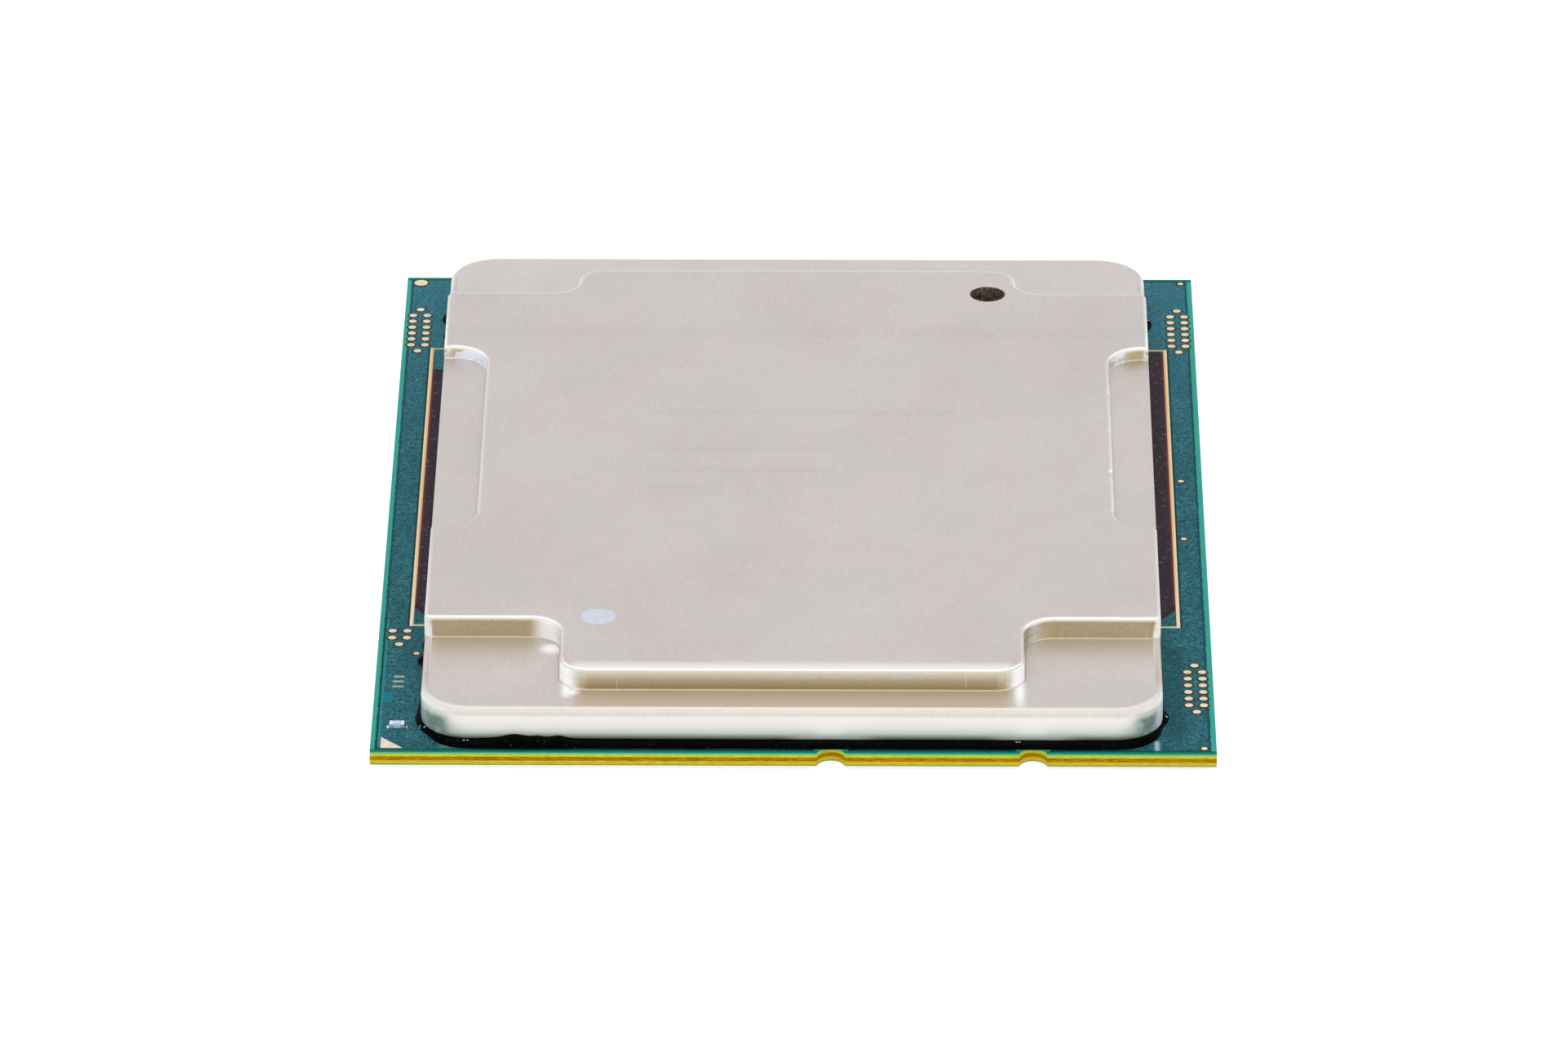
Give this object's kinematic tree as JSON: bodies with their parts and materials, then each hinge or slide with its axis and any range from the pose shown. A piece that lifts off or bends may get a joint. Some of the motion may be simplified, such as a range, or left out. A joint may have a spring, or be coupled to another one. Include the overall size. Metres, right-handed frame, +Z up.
{
  "type": "cpu processor",
  "caption": "Flat rectangular land-grid processor: a thin laminate package with gold contacts beneath and a stepped nickel-plated lid sealed on top.",
  "frame": {"origin": "under the centre of the package, level with the lowest face, the underside of the land-side capacitors", "axes": "+Z up out of the lid's contact face, +Y along the package's long side, away from the edge with the two key notches, +X to the right"},
  "size_m": [0.0564, 0.076, 0.0053],
  "materials": {
    "laminate_core": "glass-fibre epoxy, orange-brown at the cut edge",
    "buildup_resin": "yellow resin build-up, matte cut edge",
    "solder_mask": "dark teal solder mask, satin and finely speckled",
    "dark_strip": "dark brown to black, fine speckle",
    "gold": "thin gold plate, satin",
    "nickel_plated_copper": "satin nickel plate over copper",
    "sealant": "black silicone, glossy",
    "silicon": "grey mirror-smooth silicon",
    "underfill": "dark epoxy",
    "thermal_metal": "soft grey metal",
    "paint": "pale blue-white paint",
    "ceramic": "fired ceramic",
    "tin": "bright tin plate",
    "solder": "bright solder"
  },
  "bodies": {
    "root": {"buildup_bottom": "buildup_resin", "buildup_top": "buildup_resin", "corner_chip_body": "ceramic", "corner_chip_solder": "solder", "corner_chip_terminals": "tin", "dark_strip_left": "dark_strip", "dark_strip_right": "dark_strip", "die_bumps": "solder", "die_side_capacitor_bodies": "ceramic", "die_side_capacitor_terminals": "tin", "die_underfill": "underfill", "edge_pads": "gold", "fiducial_mark": "gold", "heat_spreader": "nickel_plated_copper", "land_field_back": "gold", "land_field_front": "gold", "land_side_capacitor_bodies": "ceramic", "land_side_capacitor_terminals": "tin", "lid_sealant": "sealant", "outline_trace_left": "gold", "outline_trace_right": "gold", "package_core": "laminate_core", "paint_dot": "paint", "pin_one_triangle": "gold", "silicon_die": "silicon", "solder_mask_bottom": "solder_mask", "solder_mask_top": "solder_mask", "test_pads_back_left": "gold", "test_pads_back_right": "gold", "test_pads_front_left": "gold", "test_pads_front_right": "gold", "thermal_interface": "thermal_metal"}
  },
  "joints": []
}
